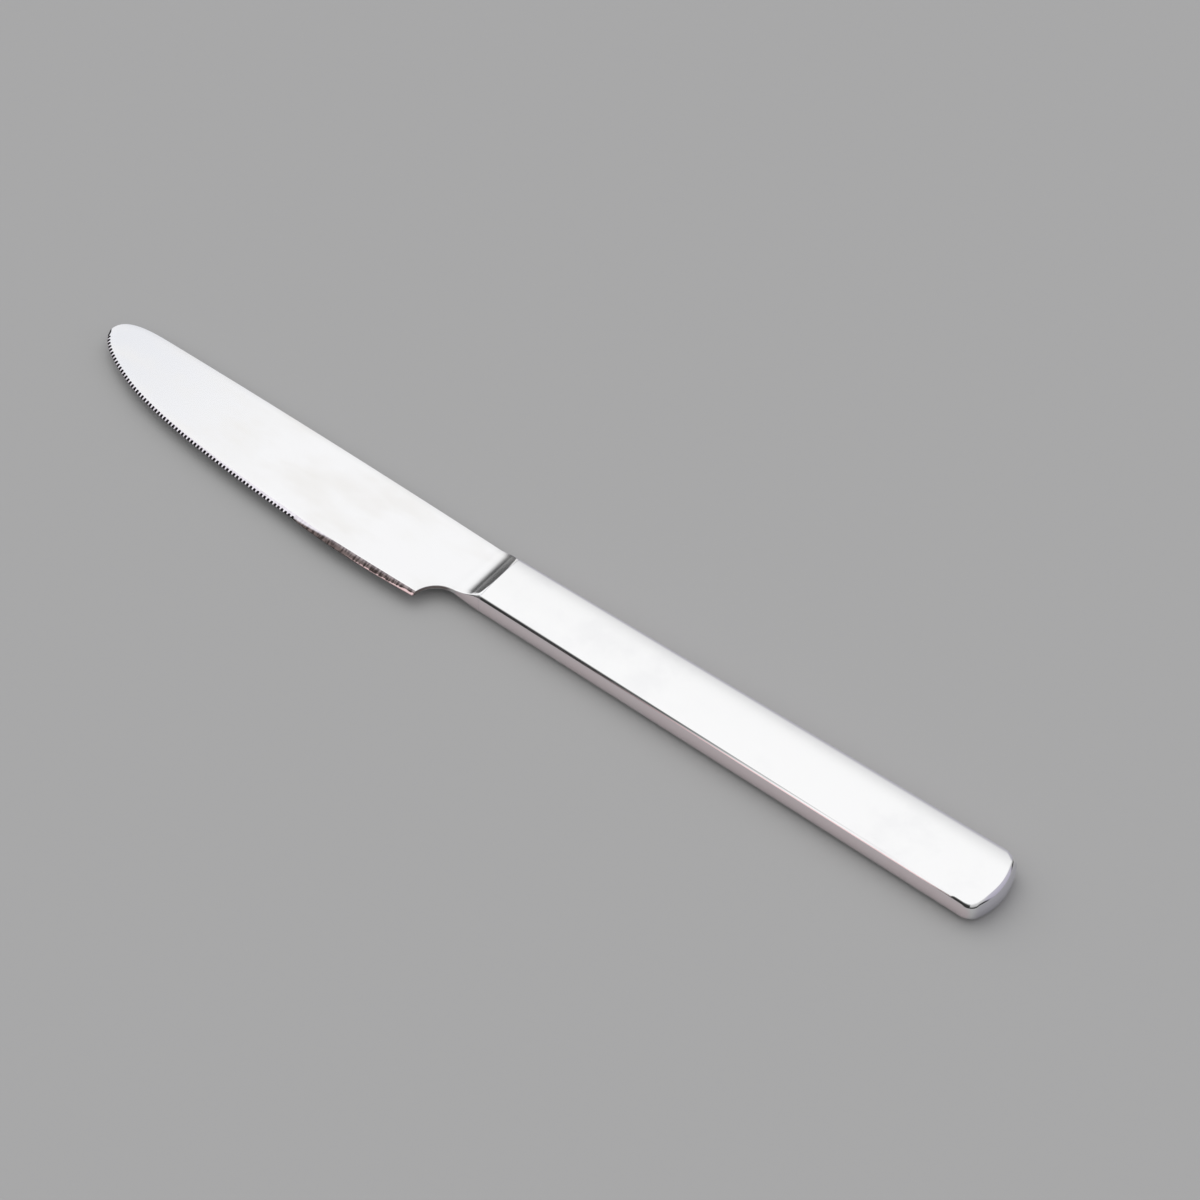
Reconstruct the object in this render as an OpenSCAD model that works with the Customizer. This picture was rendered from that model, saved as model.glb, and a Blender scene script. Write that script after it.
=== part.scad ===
// Table knife with a forged blade and a hollow handle of two pressed half shells.
// It lies flat on its handle: +X runs from the blade's tip to the butt,
// +Y points to the spine, -Y to the cutting edge, and +Z is up.
// The origin is the middle of its bounding box, on the table. Sizes are in mm.

/* [Knife] */
// Length from the tip of the blade to the butt of the handle
overall_len = 237; // [220:1:245]
// Length of the handle, from the mouth at the bolster to the butt
handle_len = 122.3; // [112:0.1:128]

/* [Blade] */
// Rise of the spine above the handle's axis
spine_rise = 8.7; // [8.2:0.1:9.5]
// Depth of the cutting edge below the handle's axis
edge_depth = 13.6; // [12.5:0.1:15]
// Thickness of the spine at the bolster
spine_t = 1.5; // [1.3:0.05:1.8]
// Thickness of the blade at the grind line above the cutting edge
grind_t = 0.9; // [0.7:0.05:1.1]
// Thickness left at the cutting edge itself
lip_t = 0.24; // [0.16:0.02:0.36]
// Distance from one serration to the next
tooth_pitch = 1.05; // [0.95:0.01:1.3]
// Depth of a serration
tooth_depth = 0.6; // [0.35:0.05:0.65]
// Radius of the hollow between the heel and the neck
choil_r = 6.1; // [5.4:0.1:6.6]

/* [Bolster] */
// Length of the bevel that rises to the handle's mouth
bevel_len = 2.1; // [1.7:0.1:2.4]
// Length of the hollow fillet between the blade's face and that bevel
fillet_len = 6.4; // [5.6:0.1:6.8]
// Radius of that fillet
fillet_r = 13.5; // [12:0.5:16]
// Distance from the foot of that bevel to the narrowest place of the neck
neck_len = 4.3; // [3.9:0.1:4.7]

/* [Handle] */
// Thickness of the handle
handle_t = 6.2; // [5.8:0.1:7]
// Full width at the mouth
mouth_w = 14.2; // [13.6:0.1:15]
// Full width where the butt's corners begin
butt_w = 16.4; // [15.4:0.1:17.4]
// Radius of the butt in plan
butt_r = 14; // [13:0.5:18]
// Radius of the butt's two corners in plan
corner_r = 3.4; // [3:0.1:3.8]
// Radius of the rounded side walls in section
side_r = 4.8; // [4.5:0.1:5.4]
// Radius of the crowned upper and lower faces in section
crown_r = 45; // [35:1:80]
// Width of the flat strip down the middle of each crowned face
flat_w = 6.6; // [5:0.1:8]
// Thickness of the pressed sheet of the half shells
wall_t = 0.9; // [0.7:0.05:1.1]

/* [Inside] */
// Length of the spigot that fills the handle's mouth
spigot_len = 3; // [2:0.1:4]
// Length of the tang behind the spigot
tang_len = 58; // [45:1:66]
// Width of the tang at the spigot
tang_w = 6; // [5:0.1:7]
// Thickness of the tang
tang_t = 2.6; // [2.2:0.1:3]
// Cement past the end of the tang
cement_over = 6; // [3:1:10]
// Height of the brazed bead inside the seam
bead_h = 1; // [0.7:0.1:1.4]
// Thickness of that bead, inwards from the wall
bead_t = 0.5; // [0.3:0.05:0.7]

/* [Hidden] */
$fn = 96;

// Past any surface that a cut must clear
overrun = 8;

// Places along X
tip_x = -overall_len / 2;
butt_x = overall_len / 2;
mouth_x = butt_x - handle_len;
blade_len = mouth_x - tip_x;
crest_x = mouth_x - bevel_len;
fillet_x = crest_x - fillet_len;
neck_x = crest_x - neck_len;
heel_x = neck_x - choil_r;
spigot_x = mouth_x + spigot_len;
tang_x = spigot_x + tang_len;
cement_x = tang_x + cement_over;

// Half sizes of the handle
half_t = handle_t / 2;
mouth_half = mouth_w / 2;
butt_half = butt_w / 2;
crown_drop = crown_r - sqrt(crown_r * crown_r - flat_w * flat_w / 4);
crown_z = crown_r - half_t - crown_drop;

// Plan of one side wall, of the butt's arc and of the corner between them
side_slope = (butt_half - mouth_half) / (handle_len - corner_r);
side_angle = atan(side_slope);
arc_x = butt_x - butt_r;
hub_y = mouth_half - corner_r / cos(side_angle);
hub_start = hub_y - side_slope * mouth_x;
quad_a = 1 + side_slope * side_slope;
quad_b = side_slope * hub_start - arc_x;
quad_c = arc_x * arc_x + hub_start * hub_start - pow(butt_r - corner_r, 2);
corner_x = (-quad_b + sqrt(quad_b * quad_b - quad_a * quad_c)) / quad_a;
corner_y = hub_start + side_slope * corner_x;
arc_angle = atan2(corner_y, corner_x - arc_x);
corner_turn = 90 + side_angle - arc_angle;
// The corner's own surface stands this much proud of its neighbours where it meets them
corner_proud = 0.02;
function wall_y(x) = mouth_half + side_slope * (x - mouth_x);

// Outline of the blade, as shares of its length from the mouth and of its depths
spine_share = 0.4891;
round_share = 0.8907;
round_pull = 0.9493;
nose_pull = 0.928;
nose_share = 0.448;
chin_share = 0.032;
before_join_share = [0.9195, 0.279];
after_join_share = [0.7734, 0.76];
join_share = 0.224;
rear_pull_share = [0.511, 0.884];
plain_share = [0.3957, 0.942];
heel_share = [[0.3291, 1.011], [0.2267, 1.018], [0.1005, 0.965]];
function along(share) = mouth_x - share * blade_len;
function below(share) = [along(share[0]), -share[1] * edge_depth];
function bezier(p, t) =
    pow(1 - t, 3) * p[0]
    + 3 * pow(1 - t, 2) * t * p[1]
    + 3 * (1 - t) * t * t * p[2]
    + pow(t, 3) * p[3];
function curve(p, steps) = [for (i = [0:steps]) bezier(p, i / steps)];

// The blade's neck stands a little proud of the bolster's sides, and its root runs on inside
neck_proud = 0.06;
land_share = 0.12;
root_in = 0.5;
land_x = neck_x + choil_r * land_share;
spine_start = [land_x, wall_y(land_x) + neck_proud];
spine_end = [along(round_share), spine_rise];
spine_mid = [along(spine_share), spine_rise];
spine_curve = [spine_start, (spine_start + 2 * spine_mid) / 3, (spine_end + 2 * spine_mid) / 3, spine_end];
nose = [tip_x, nose_share * spine_rise];
nose_curve = [spine_end, [along(round_pull), spine_rise], [tip_x, nose_pull * spine_rise], nose];
before_join = below(before_join_share);
after_join = below(after_join_share);
join = before_join + join_share * (after_join - before_join);
front_curve = [nose, [tip_x, -chin_share * edge_depth], before_join, join];
rear_curve = [join, after_join, below(rear_pull_share), below(plain_share)];
heel_curve = [below(plain_share), below(heel_share[0]), below(heel_share[1]), below(heel_share[2])];

// The serrated edge by its own length, so that the serrations are evenly spaced
half_steps = 60;
belly_steps = 2 * half_steps;
belly = concat(curve(front_curve, half_steps), [for (i = [1:half_steps]) bezier(rear_curve, i / half_steps)]);
function run_to(i) = i == 0 ? 0 : norm(belly[i] - belly[i - 1]) + run_to(i - 1);
belly_run = [for (i = [0:belly_steps]) run_to(i)];
belly_len = belly_run[belly_steps];
run_x = [for (i = [0:belly_steps]) [belly_run[i], belly[i][0]]];
run_y = [for (i = [0:belly_steps]) [belly_run[i], belly[i][1]]];
function edge_at(s) = [lookup(s, run_x), lookup(s, run_y)];
function edge_dir(s) = let (d = edge_at(s + tooth_pitch) - edge_at(s - tooth_pitch)) d / norm(d);
function edge_in(s) = [-edge_dir(s)[1], edge_dir(s)[0]];

// Serrations: a mouth, a narrower root, and lands of edge between them
mouth_share = 0.62;
root_share = 0.3;
first_share = 2.6;
first_tooth = first_share * tooth_pitch;
tooth_count = floor((belly_len - first_tooth) / tooth_pitch - mouth_share / 2) + 1;
function notch(s) = [
    edge_at(s - mouth_share * tooth_pitch / 2),
    edge_at(s - root_share * tooth_pitch / 2) + tooth_depth * edge_in(s),
    edge_at(s + root_share * tooth_pitch / 2) + tooth_depth * edge_in(s),
    edge_at(s + mouth_share * tooth_pitch / 2)
];
plain_belly = [for (i = [1:belly_steps]) if (belly_run[i] < first_tooth - tooth_pitch) belly[i]];
teeth = [for (i = [0:tooth_count - 1]) for (p = notch(first_tooth + i * tooth_pitch)) p];

spine_steps = 24;
nose_steps = 24;
heel_steps = 16;
blade_outline = concat(
    curve(spine_curve, spine_steps),
    [for (i = [1:nose_steps]) bezier(nose_curve, i / nose_steps)],
    plain_belly,
    teeth,
    curve(heel_curve, heel_steps),
    [
        [land_x, -wall_y(land_x) - neck_proud],
        [land_x, -wall_y(land_x) + root_in],
        [crest_x, -wall_y(land_x) + root_in],
        [crest_x, wall_y(land_x) - root_in],
        [land_x, wall_y(land_x) - root_in]
    ]
);

// Grinding of the blade's faces
taper_angle = atan((spine_t - grind_t) / 2 / (spine_rise + edge_depth));
tip_taper = 0.15;
bevel_run = 1.1;
serrated_run = 0.5;
// The bevels' places crowd towards the tip, where the edge turns most
bevel_count = 12;
bevel_crowding = 1.5;

// The handle's axis from the middle of the bounding box
edge_ys = [for (p = blade_outline) p[1]];
axis_y = -(min(edge_ys) + max(edge_ys)) / 2;

// The wall's section goes past both faces, and the crowns' arcs are drawn this fine
section_share = 1.5;
crown_facets = 360;

// Shares of the tang's width at its end and in its nicks, and of the bevel over the spigot's root
tang_end_share = 0.5;
nick_share = 0.17;
spigot_root_share = 0.25;

// Sets the knife down on its handle, centred over the origin
module laid() {
    translate([0, axis_y, half_t]) children();
}

// Turns a section drawn in YZ into a bar from x0 to x1
module bar(x0, x1) {
    translate([x0, 0, 0]) rotate([90, 0, 90]) linear_extrude(height = x1 - x0) children();
}

// Everything between two planes across the knife
module span_x(x0, x1) {
    wide = overall_len;
    translate([x0, -wide / 2, -wide / 2]) cube([x1 - x0, wide, wide]);
}

// Section of a bulged wall: from far inside, on the left, out to the wall at radius r
module wall_section(r, inset) {
    deep = butt_w + overrun;
    high = section_share * side_r;
    intersection() {
        translate([-deep, -high / 2]) square([deep + r, high]);
        union() {
            translate([r - side_r, 0]) circle(r = side_r - inset);
            translate([-deep, -high]) square([deep + r - side_r, 2 * high]);
        }
    }
}

// Solid turned about the Z axis whose rim is the bulged wall at radius r
module bulged_disc(r, inset) {
    rotate_extrude() intersection() {
        wall_section(r, inset);
        translate([0, -overrun]) square([r, 2 * overrun]);
    }
}

// All that lies within the far side wall
module within_side(inset) {
    translate([mouth_x, mouth_half, 0])
        rotate([0, 0, side_angle])
        rotate([90, 0, 90])
        translate([0, 0, -handle_len])
        linear_extrude(height = 3 * handle_len)
        wall_section(0, inset);
}

// What the far end of the bar loses beyond the butt's arc
module butt_waste(inset) {
    difference() {
        translate([corner_x - corner_r - overrun / 2, -butt_w, -butt_w])
            cube([butt_r + overrun, 2 * butt_w, 2 * butt_w]);
        translate([arc_x, 0, 0]) bulged_disc(butt_r, inset);
    }
}

// What the far corner of the butt loses beyond its rounding
module corner_waste(inset) {
    translate([corner_x, corner_y, 0])
        rotate([0, 0, arc_angle + corner_turn / 2])
        difference() {
            translate([(corner_r - inset) * cos(corner_turn / 2), -overrun, -overrun])
                cube([overrun, 2 * overrun, 2 * overrun]);
            bulged_disc(corner_r + corner_proud, inset);
        }
}

// Section of the crowned faces with their flat strips
module crown_section(inset) {
    intersection() {
        translate([-butt_w, inset - half_t]) square([2 * butt_w, handle_t - 2 * inset]);
        translate([0, -crown_z]) circle(r = crown_r - inset, $fn = crown_facets);
        translate([0, crown_z]) circle(r = crown_r - inset, $fn = crown_facets);
    }
}

// The handle's solid form, set in from its outside, from x0 to the butt
module handle_form(inset, x0) {
    difference() {
        intersection() {
            bar(x0, butt_x + overrun) crown_section(inset);
            within_side(inset);
            mirror([0, 1, 0]) within_side(inset);
        }
        butt_waste(inset);
        corner_waste(inset);
        mirror([0, 1, 0]) corner_waste(inset);
    }
}

// Space inside the two half shells
module cavity(x0) {
    handle_form(wall_t, x0);
}

// Everything above the seam
module upper_half() {
    wide = overall_len;
    translate([-wide, -wide, 0]) cube([2 * wide, 2 * wide, wide]);
}

// Half space under the upper face of the blade, thinning to the edge and to the tip
module under_face() {
    wide = overall_len;
    translate([mouth_x, spine_rise, spine_t / 2])
        rotate([taper_angle, -tip_taper, 0])
        translate([-wide, -wide, -wide / 2]) cube([2 * wide, 2 * wide, wide / 2]);
}

// Half space under the ground bevel of the edge at point p, facing the way angle points
module under_bevel(p, angle, run) {
    wide = overall_len;
    translate([p[0], p[1], lip_t / 2])
        rotate([0, atan((grind_t - lip_t) / 2 / run), angle])
        translate([-wide, -wide / 2, -wide / 2]) cube([wide + overrun, wide, wide / 2]);
}

// Bevels that follow the serrated edge, then the plain one at the heel
module under_bevels() {
    intersection_for (i = [0:bevel_count]) {
        share = (2 * i + 1) / (2 * bevel_count + 2);
        s = belly_len * pow(share, bevel_crowding);
        out = i < bevel_count ? -edge_in(s) : [0, -1];
        p = i < bevel_count ? edge_at(s) : [heel_x, min(edge_ys)];
        run = serrated_run + (bevel_run - serrated_run) * i / bevel_count;
        under_bevel(p, atan2(out[1], out[0]), run);
    }
}

// Blade in plan, with its serrations and the hollow behind the heel
module blade_plate() {
    difference() {
        translate([0, 0, -spine_t / 2]) linear_extrude(height = spine_t) polygon(blade_outline);
        translate([neck_x, -mouth_half - choil_r, -spine_t]) cylinder(r = choil_r, h = 2 * spine_t);
    }
}

// Hollow fillet and bevel that carry the blade's faces up to the handle
module bolster_section() {
    face_z = grind_t / 2;
    crest_z = face_z + fillet_r - sqrt(fillet_r * fillet_r - fillet_len * fillet_len);
    difference() {
        polygon([[fillet_x, 0], [fillet_x, crest_z], [crest_x, crest_z], [mouth_x, half_t], [mouth_x, 0]]);
        translate([fillet_x, face_z + fillet_r]) circle(r = fillet_r);
    }
}

module bolster() {
    intersection() {
        handle_form(0, fillet_x);
        rotate([90, 0, 0])
            translate([0, 0, -mouth_w])
            linear_extrude(height = 2 * mouth_w)
            union() {
                bolster_section();
                mirror([0, 1]) bolster_section();
            }
    }
}

// Tang: tapers to its end and is nicked on both sides so that the cement grips it
module tang() {
    tip_half = tang_end_share * tang_w / 2;
    nick_r = nick_share * tang_w;
    nicks = 4;
    root_x = spigot_x - spigot_len / 2;
    step = (tang_x - root_x) / (nicks + 1);
    taper = (tip_half - tang_w / 2) / (tang_x - root_x);
    difference() {
        translate([0, 0, -tang_t / 2])
            linear_extrude(height = tang_t)
            polygon([[root_x, -tang_w / 2], [tang_x, -tip_half], [tang_x, tip_half], [root_x, tang_w / 2]]);
        for (i = [1:nicks], side = [-1, 1])
            translate([root_x + i * step, side * (tang_w / 2 + i * step * taper), -tang_t])
            cylinder(r = nick_r, h = 2 * tang_t);
    }
}

// Blade, bolster, spigot and tang, forged in one piece
module blade() {
    color([0.84, 0.85, 0.87]) laid() {
        intersection() {
            blade_plate();
            under_face();
            mirror([0, 0, 1]) under_face();
            under_bevels();
            mirror([0, 0, 1]) under_bevels();
        }
        bolster();
        intersection() {
            cavity(mouth_x - bevel_len * spigot_root_share);
            span_x(neck_x, spigot_x);
        }
        tang();
    }
}

// One pressed half of the handle
module half_shell() {
    intersection() {
        difference() {
            handle_form(0, mouth_x);
            cavity(mouth_x - overrun);
        }
        upper_half();
    }
}

module handle_shell_upper() {
    color([0.87, 0.87, 0.89]) laid() half_shell();
}

module handle_shell_lower() {
    color([0.80, 0.80, 0.83]) laid() mirror([0, 0, 1]) half_shell();
}

// Room that the bead takes along the seam, open towards the wall
module bead_room() {
    difference() {
        translate([-overall_len, -overall_len / 2, -bead_h / 2])
            cube([2 * overall_len, overall_len, bead_h]);
        handle_form(wall_t + bead_t, spigot_x - overrun);
    }
}

// Bead of braze left inside the seam, round both sides and the butt
module bead() {
    intersection() {
        cavity(spigot_x);
        bead_room();
    }
}

module seam_braze() {
    color([0.80, 0.74, 0.58]) laid() bead();
}

// Cement that fills the front of the handle round the tang
module tang_cement() {
    color([0.52, 0.50, 0.47]) laid() difference() {
        intersection() {
            cavity(spigot_x);
            span_x(spigot_x, cement_x);
        }
        bead_room();
        tang();
    }
}

blade();
handle_shell_upper();
handle_shell_lower();
seam_braze();
tang_cement();
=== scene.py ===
# %% [markdown]
# # A hollow-handle table knife
# The knife lies flat on its handle, with the blade clear of the table. Its CAD model
# comes in as a fixed frame, in metres. Everything below is laid over that frame: smooth
# skins for the polished steel, the finish of each surface, a floor, light and a camera.

# %% Load the frame
import math
from collections import namedtuple

import bmesh
import bpy
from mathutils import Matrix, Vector


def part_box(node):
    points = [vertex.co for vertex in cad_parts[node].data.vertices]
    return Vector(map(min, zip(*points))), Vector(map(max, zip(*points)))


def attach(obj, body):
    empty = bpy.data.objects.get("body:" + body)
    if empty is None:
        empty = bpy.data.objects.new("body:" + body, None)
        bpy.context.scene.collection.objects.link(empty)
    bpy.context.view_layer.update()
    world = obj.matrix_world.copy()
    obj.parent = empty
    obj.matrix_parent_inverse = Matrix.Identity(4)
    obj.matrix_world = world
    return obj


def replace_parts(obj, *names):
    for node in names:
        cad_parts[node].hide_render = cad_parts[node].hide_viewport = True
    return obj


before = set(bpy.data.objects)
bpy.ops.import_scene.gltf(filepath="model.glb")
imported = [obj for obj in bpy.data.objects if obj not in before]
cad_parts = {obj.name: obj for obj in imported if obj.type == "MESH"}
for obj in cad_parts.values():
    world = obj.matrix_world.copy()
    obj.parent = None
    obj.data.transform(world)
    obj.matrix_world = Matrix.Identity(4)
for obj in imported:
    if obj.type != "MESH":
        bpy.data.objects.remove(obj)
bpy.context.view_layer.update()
print("nodes:", sorted(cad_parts))

# %% [markdown]
# ## Camera
# The photograph was taken from half above, with the knife turned away to the right.
# A camera is an object with camera data. Its place and its aim are given as points, and
# to_track_quat turns "look along this line" into a rotation. The lens is long, so the
# knife hardly narrows towards its tip.

# %% Set up the camera
MM = 0.001
CAMERA_AT = (243.075, -276.765, 442.157)
CAMERA_AIM = (12.812, 14.147, 0.0)
LENS = 84.6
SENSOR = 36.0

scene = bpy.context.scene
camera_data = bpy.data.cameras.new("camera")
camera_data.lens = LENS
camera_data.sensor_width = SENSOR
camera_data.clip_start = 0.01
camera = bpy.data.objects.new("camera", camera_data)
camera.location = Vector(CAMERA_AT) * MM
line_of_sight = (Vector(CAMERA_AIM) - Vector(CAMERA_AT)).normalized()
camera.rotation_euler = line_of_sight.to_track_quat("-Z", "Y").to_euler()
scene.collection.objects.link(camera)
scene.camera = camera
scene.view_settings.view_transform = "Standard"
print("camera looks down at", round(-math.degrees(math.asin(line_of_sight.z)), 1), "degrees")

# %% [markdown]
# ## Small tools for shapes
# All shapes are worked out in millimetres, in the knife's own axes: y is 0 on the
# handle's axis and z is 0 halfway through its thickness. One function moves a point from
# there into the frame. Soft minimum and maximum join two surfaces with a small round
# instead of a hard crease, as polishing does.

# %% Shape tools
HALVINGS = 40
low_shell, high_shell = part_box("handle_shell_upper")
AXIS_Y = (low_shell.y + high_shell.y) / 2 / MM
HALF_T = low_shell.z / MM
print("handle axis at y", round(AXIS_Y, 3), "mm, half its thickness", round(HALF_T, 3), "mm")


def placed(point):
    """A point in mm, from the knife's axes to the frame, in metres."""
    return Vector((point[0], point[1] + AXIS_Y, point[2] + HALF_T)) * MM


def mix(a, b, t):
    return a + (b - a) * t


def mix_points(p, q, t):
    return tuple(mix(a, b, t) for a, b in zip(p, q))


def eased(low, high, value):
    """0 below low, 1 above high, and a smooth rise between them."""
    t = min(1.0, max(0.0, (value - low) / (high - low)))
    return t * t * (3 - 2 * t)


def soft_min(a, b, reach):
    gap = max(reach - abs(a - b), 0.0)
    return min(a, b) - gap * gap / (4 * reach)


def soft_max(a, b, reach):
    return -soft_min(-a, -b, reach)


def bezier(p, t):
    """Point at t on the cubic curve of four control points."""
    w = ((1 - t) ** 3, 3 * (1 - t) ** 2 * t, 3 * (1 - t) * t * t, t**3)
    return tuple(sum(w[i] * p[i][k] for i in range(4)) for k in range(2))


class Path:
    """A smooth run of points in plan, read by its own length or by its x."""

    def __init__(self, points):
        self.points = points
        self.run = [0.0]
        for p, q in zip(points, points[1:]):
            self.run.append(self.run[-1] + math.dist(p, q))
        self.length = self.run[-1]

    def at(self, s):
        s = min(max(s, 0.0), self.length)
        low, high = 0, len(self.run) - 1
        while high - low > 1:
            middle = (low + high) // 2
            low, high = (middle, high) if self.run[middle] <= s else (low, middle)
        t = (s - self.run[low]) / (self.run[high] - self.run[low])
        return mix_points(self.points[low], self.points[high], t)

    def heading(self, s, reach=0.5):
        p, q = self.at(s - reach), self.at(s + reach)
        size = math.dist(p, q)
        return ((q[0] - p[0]) / size, (q[1] - p[1]) / size)

    def run_at_x(self, x):
        """Length along the path where it reaches x; x has to rise along the path."""
        low, high = 0.0, self.length
        for _ in range(HALVINGS):
            middle = (low + high) / 2
            low, high = (middle, high) if self.at(middle)[0] < x else (low, middle)
        return low


# %% [markdown]
# ## One section for every skin
# Blade, bolster and handle all have the same kind of section at the rim: a side wall
# that rises from the middle plane, a rounded corner, and a face that runs inwards.
# So one function gives that section anywhere round the rim, and a skin is a grid of such
# sections side by side. A grid of quads keeps reflections smooth, which a cut and
# meshed solid doesn't. bmesh builds the grids of a piece and welds them where they meet.

# %% Section of a rim
SIDE_R = 4.8
ROLL_TOP = 2.8
ROLL_GAIN = 0.6
WALL_STEPS = 6
ROUND_STEPS = 6
CORNER_FALL = 1.9
CORNER_SHARE = 0.4
ROW_GAP = 0.03
SETTLING = 30


def section(
    base, inward, height, corner, centre, rows,
    start=0.0, bulge=1.0, inset=0.0, depths=(), levels=(), lean=0.0,
):
    """Points from the middle plane up the side wall, round the corner and in to the centre.
    height(x, y) is the height of the face. It gets points at the given depths inside the base
    point, then at the given levels of y, then as many rows as asked for on the way to the
    centre. start and inset set the wall in, and bulge says how much of the side wall's full
    roundness it has. lean is the share of start that is missing at the middle plane, so that
    the wall slopes."""
    wall_r = SIDE_R - inset

    def wall_depth(z, full=1.0):
        leaning = start * (1.0 - lean * (1.0 - min(1.0, z / full)))
        rolled = wall_r - math.sqrt(wall_r * wall_r - z * z)
        return leaning + inset + bulge * rolled * (z / (ROLL_TOP - inset)) ** ROLL_GAIN

    def face(d):
        return height(base[0] + inward[0] * d, base[1] + inward[1] * d)

    top = face(start + inset)
    for _ in range(SETTLING):
        top = face(wall_depth(top, top))
    trim = min(corner, CORNER_SHARE * top)
    high = top - min(CORNER_FALL * corner, CORNER_SHARE * top)
    flat = [(wall_depth(z, top), z) for z in [i / WALL_STEPS * high for i in range(WALL_STEPS + 1)]]
    edge_d = wall_depth(top, top)
    reached = edge_d + trim
    ends = (flat[-1], (edge_d, top), (reached, face(reached)))
    for i in range(1, ROUND_STEPS + 1):
        t = i / ROUND_STEPS
        flat.append(mix_points(mix_points(ends[0], ends[1], t), mix_points(ends[1], ends[2], t), t))
    for d in depths:
        reached = max(d, reached + ROW_GAP)
        flat.append((reached, face(reached)))
    points = [(base[0] + inward[0] * d, base[1] + inward[1] * d, z) for d, z in flat]
    x, y, _ = points[-1]
    for level in levels:
        y = max(level, y + ROW_GAP)
        points.append((x, y, height(x, y)))
    last = (x, y)
    for i in range(1, rows + 1):
        x, y = mix_points(last, centre, i / rows)
        points.append((x, y, height(x, y)))
    return points


# %% Piece from grids
WELD = 2e-6
NO_LENGTH = 1e-7
SHARP = 40.0


def mirrored(grid, y=1, z=1):
    """The grid, with its y and its z times 1 or -1."""
    return [[(p[0], y * p[1], z * p[2]) for p in row] for row in grid]


def piece(name, grids, sharp=SHARP):
    """One welded mesh object from grids of points. Each grid comes with a function that gives
    a quad's material index from its row and column."""
    mesh = bmesh.new()
    for grid, finish in grids:
        verts = [[mesh.verts.new(placed(p)) for p in row] for row in grid]
        for i in range(len(verts) - 1):
            for j in range(len(verts[i]) - 1):
                corners = (verts[i][j], verts[i + 1][j], verts[i + 1][j + 1], verts[i][j + 1])
                quad = mesh.faces.new(corners)
                quad.material_index = finish(i, j)
                quad.smooth = True
    bmesh.ops.remove_doubles(mesh, verts=mesh.verts, dist=WELD)
    bmesh.ops.dissolve_degenerate(mesh, edges=mesh.edges, dist=NO_LENGTH)
    bmesh.ops.recalc_face_normals(mesh, faces=mesh.faces)
    open_edges = sum(1 for e in mesh.edges if len(e.link_faces) != 2)
    data = bpy.data.meshes.new(name)
    mesh.to_mesh(data)
    mesh.free()
    data.set_sharp_from_angle(angle=math.radians(sharp))
    made = bpy.data.objects.new(name, data)
    scene.collection.objects.link(made)
    print(name, len(data.polygons), "faces,", open_edges, "open edges")
    return made


def plain(i, j):
    """The first material everywhere."""
    return 0


# %% [markdown]
# ## Handle
# The real handle is two thin pressed half shells, brazed together along the middle of
# the side walls and then polished all over. In plan it widens slightly to the butt,
# which is an arc between two rounded corners. The side walls bulge, and the upper and
# lower faces are flat in the middle and fall away a little to the sides.
# A cube with modifiers wouldn't give that falling face, so the rim is walked station by
# station: along the far side wall, round the corner, and along the butt to the axis.
# The near side is the mirror image.

# %% Plan of the handle
BUTT_X = 118.5
MOUTH_X = -3.8
MOUTH_HALF = 7.1
BUTT_HALF = 8.2
BUTT_R = 14.0
CORNER_R = 3.4
CROWN_R = 45.0
FLAT_W = 6.6
CROWN_SOFTNESS = 0.12

crown_drop = CROWN_R - math.sqrt(CROWN_R**2 - FLAT_W**2 / 4)
crown_z = CROWN_R - HALF_T - crown_drop
side_slope = (BUTT_HALF - MOUTH_HALF) / (BUTT_X - MOUTH_X - CORNER_R)
side_angle = math.atan(side_slope)
arc_x = BUTT_X - BUTT_R


def half_width(x):
    return MOUTH_HALF + side_slope * (x - MOUTH_X)


def crown(y, inset=0.0):
    """Height of the crowned face above the middle plane."""
    return soft_min(HALF_T - inset, math.sqrt((CROWN_R - inset) ** 2 - y * y) - crown_z, CROWN_SOFTNESS)


def corner_hub():
    """Centre of the far corner: it touches the side wall and the butt's arc."""
    start = MOUTH_HALF - CORNER_R / math.cos(side_angle) - side_slope * MOUTH_X
    a = 1 + side_slope**2
    b = side_slope * start - arc_x
    c = arc_x**2 + start**2 - (BUTT_R - CORNER_R) ** 2
    x = (-b + math.sqrt(b * b - a * c)) / a
    return x, start + side_slope * x


hub_x, hub_y = corner_hub()
butt_turn = math.atan2(hub_y, hub_x - arc_x)
print("corner hub at", round(hub_x, 2), round(hub_y, 2), "mm")
print("the butt's arc turns", round(math.degrees(butt_turn), 1), "degrees to each side")

# %% Stations round the handle
SIDE_STATIONS = 44
CORNER_STATIONS = 18
BUTT_STATIONS = 18
CENTRE_END = 107.0
CENTRE_BEND = 96.0
CENTRE_PACE = 1.3
HANDLE_DEPTHS = (1.6, 2.0, 2.6)
HANDLE_ROWS = 9
HANDLE_CORNER = 0.31
CORNER_SWELL = 1.3
WALL_T = 0.9
INNER_CORNER = 0.15
MOUTH_ROUND = 0.06
# Inset and distance from the mouth of its first stations, as shares of its rounding
MOUTH_ROUNDING = ((1.0, 0.0), (0.3, 0.3), (0.0, 1.0), (0.0, 2.0), (0.0, 5.0))


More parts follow.
